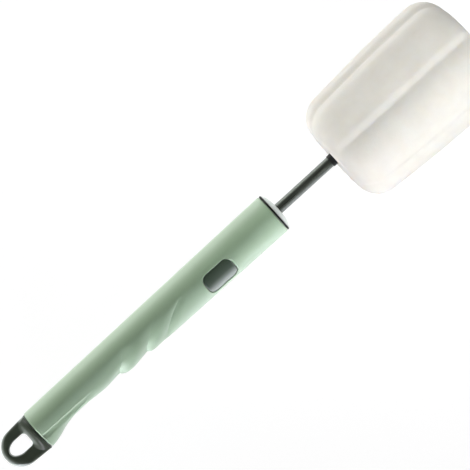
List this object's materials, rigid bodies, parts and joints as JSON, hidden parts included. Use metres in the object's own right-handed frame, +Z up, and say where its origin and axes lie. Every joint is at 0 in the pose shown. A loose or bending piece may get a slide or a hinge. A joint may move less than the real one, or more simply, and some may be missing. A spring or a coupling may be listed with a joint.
{
  "type": "long-handled cup brush",
  "caption": "Long-handled cup brush: waved plastic grip with a hanging loop and a release button, telescopic steel rod and a lobed white foam head.",
  "frame": {"origin": "on the surface the brush lies on, under the middle of its box", "axes": "+X along the brush from its hanging loop toward its foam head, -Y the finger side of the grip, +Z up; the brush's own axis rises a few degrees toward the head, as it lies on its foam and its tail"},
  "size_m": [0.313, 0.0658, 0.066],
  "materials": {
    "grip_green": "satin",
    "dark_plastic": "satin",
    "pale_plastic": "satin",
    "inner_plastic": "satin",
    "steel": "satin",
    "shoe_rubber": "matte",
    "foam": "matte"
  },
  "bodies": {
    "handle": {"handle_shell": "grip_green", "hang_loop_cap": "dark_plastic", "front_cap": "pale_plastic", "cap_ring": "dark_plastic", "rod_bush": "inner_plastic", "lock_carrier": "inner_plastic", "lock_spring": "steel"},
    "button": {"release_button": "dark_plastic", "lock_yoke": "inner_plastic", "brake_shoe": "shoe_rubber"},
    "rod": {"rod_tube": "steel", "rod_end_stop": "inner_plastic", "stop_pin": "steel", "head_core": "dark_plastic", "sponge_head": "foam"}
  },
  "joints": [
    {"name": "rod_slide", "type": "slide", "parent": "handle", "child": "rod", "axis": [0.9961, 0, 0.0885], "range_m": [-0.032, 0.052]},
    {"name": "button_press", "type": "slide", "parent": "handle", "child": "button", "axis": [0.0742, 0.5446, -0.8354], "range_m": [0, 0.0014], "stiffness_N_per_m": 800, "springref_m": -0.0025, "deforming": ["lock_spring"]}
  ]
}
